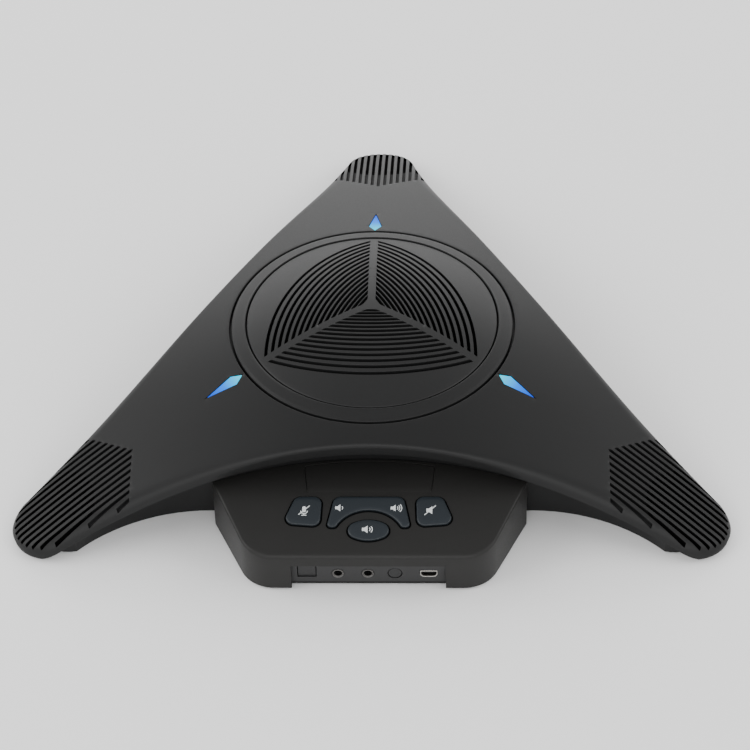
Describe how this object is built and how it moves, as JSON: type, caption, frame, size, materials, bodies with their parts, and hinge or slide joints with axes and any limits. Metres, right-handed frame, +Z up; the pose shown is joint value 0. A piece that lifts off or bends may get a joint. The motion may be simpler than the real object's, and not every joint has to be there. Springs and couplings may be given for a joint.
{
  "type": "conference speakerphone",
  "caption": "Three-legged table-top conference speakerphone: domed shell, slotted round loudspeaker grille, microphone grilles and status lights on the legs, key console with ports.",
  "frame": {"origin": "on the loudspeaker's axis, in the plane of the feet's soles that the unit stands on", "axes": "+Z up along the loudspeaker's axis; -Y towards the user, through the key console; +X to the user's right"},
  "size_m": [0.3204, 0.2981, 0.064],
  "materials": {
    "shell_plastic": "fine-textured matte black ABS",
    "console_plastic": "fine-textured matte black ABS",
    "ring_plastic": "satin black ABS",
    "grille_plastic": "satin black ABS",
    "cloth": "black acoustic cloth",
    "led_lens": "frosted blue light pipe",
    "board": "green solder mask",
    "rubber": "soft black rubber",
    "capsule_metal": "drawn can",
    "frame_steel": "zinc plated pressed steel",
    "ferrite": "ground ferrite",
    "copper_coil": "enamelled copper winding",
    "spider_cloth": "impregnated cotton",
    "cone_paper": "coated paper",
    "key_rubber": "satin dark blue-grey",
    "snap_steel": "spring steel",
    "port_plastic": "moulded black",
    "port_metal": "nickel plated",
    "screw_steel": "zinc plated"
  },
  "bodies": {
    "housing": {"base_shell": "shell_plastic", "board_screws": "screw_steel", "console_cover": "console_plastic", "foot_console_left": "rubber", "foot_console_right": "rubber", "foot_left": "rubber", "foot_rear": "rubber", "foot_right": "rubber", "front_plate": "frame_steel", "grille_cloth": "cloth", "key_board": "board", "led_board_left": "board", "led_board_rear": "board", "led_board_right": "board", "led_lens_left": "led_lens", "led_lens_rear": "led_lens", "led_lens_right": "led_lens", "line_in_collar": "port_metal", "line_in_jack": "port_plastic", "line_out_collar": "port_metal", "line_out_jack": "port_plastic", "main_board": "board", "mic_boot_left": "rubber", "mic_boot_rear": "rubber", "mic_boot_right": "rubber", "mic_capsule_left": "capsule_metal", "mic_capsule_rear": "capsule_metal", "mic_capsule_right": "capsule_metal", "mic_mesh_left": "cloth", "mic_mesh_rear": "cloth", "mic_mesh_right": "cloth", "phone_port_blank": "port_plastic", "port_panel": "port_plastic", "power_port_blank": "port_plastic", "ring_magnet": "ferrite", "shell_screws": "screw_steel", "snap_mic_mute": "snap_steel", "snap_speaker_mute": "snap_steel", "snap_talk": "snap_steel", "snap_volume_down": "snap_steel", "snap_volume_up": "snap_steel", "speaker_frame": "frame_steel", "speaker_gasket": "rubber", "speaker_grille": "grille_plastic", "speaker_screws": "screw_steel", "spider": "spider_cloth", "surround": "rubber", "top_shell": "shell_plastic", "trim_ring": "ring_plastic", "usb_shell": "port_metal", "usb_tongue": "port_plastic", "yoke": "frame_steel"},
    "mic_mute_key": {"mic_mute_button": "key_rubber"},
    "volume_key": {"volume_rocker": "key_rubber"},
    "speaker_mute_key": {"speaker_mute_button": "key_rubber"},
    "talk_key": {"talk_button": "key_rubber"},
    "cone": {"speaker_cone": "cone_paper", "dust_cap": "cone_paper", "voice_coil": "copper_coil"}
  },
  "joints": [
    {"name": "mic_mute_press", "type": "slide", "parent": "housing", "child": "mic_mute_key", "axis": [0, 0.1736, -0.9848], "range_m": [0, 0.0006], "stiffness_N_per_m": 3000, "deforming": ["snap_mic_mute"]},
    {"name": "speaker_mute_press", "type": "slide", "parent": "housing", "child": "speaker_mute_key", "axis": [0, 0.1736, -0.9848], "range_m": [0, 0.0006], "stiffness_N_per_m": 3000, "deforming": ["snap_speaker_mute"]},
    {"name": "talk_press", "type": "slide", "parent": "housing", "child": "talk_key", "axis": [0, 0.1736, -0.9848], "range_m": [0, 0.0006], "stiffness_N_per_m": 3000, "deforming": ["snap_talk"]},
    {"name": "volume_rock", "type": "hinge", "parent": "housing", "child": "volume_key", "pos_m": [0, -0.09054, 0.01967], "axis": [0, 0.9848, 0.1736], "range_deg": [-1.8, 1.8], "stiffness_Nm_per_rad": 0.5, "deforming": ["snap_volume_down", "snap_volume_up"]},
    {"name": "cone_travel", "type": "slide", "parent": "housing", "child": "cone", "axis": [0, 0, 1], "range_m": [-0.001, 0.001], "stiffness_N_per_m": 1500, "deforming": ["surround", "spider"]}
  ]
}
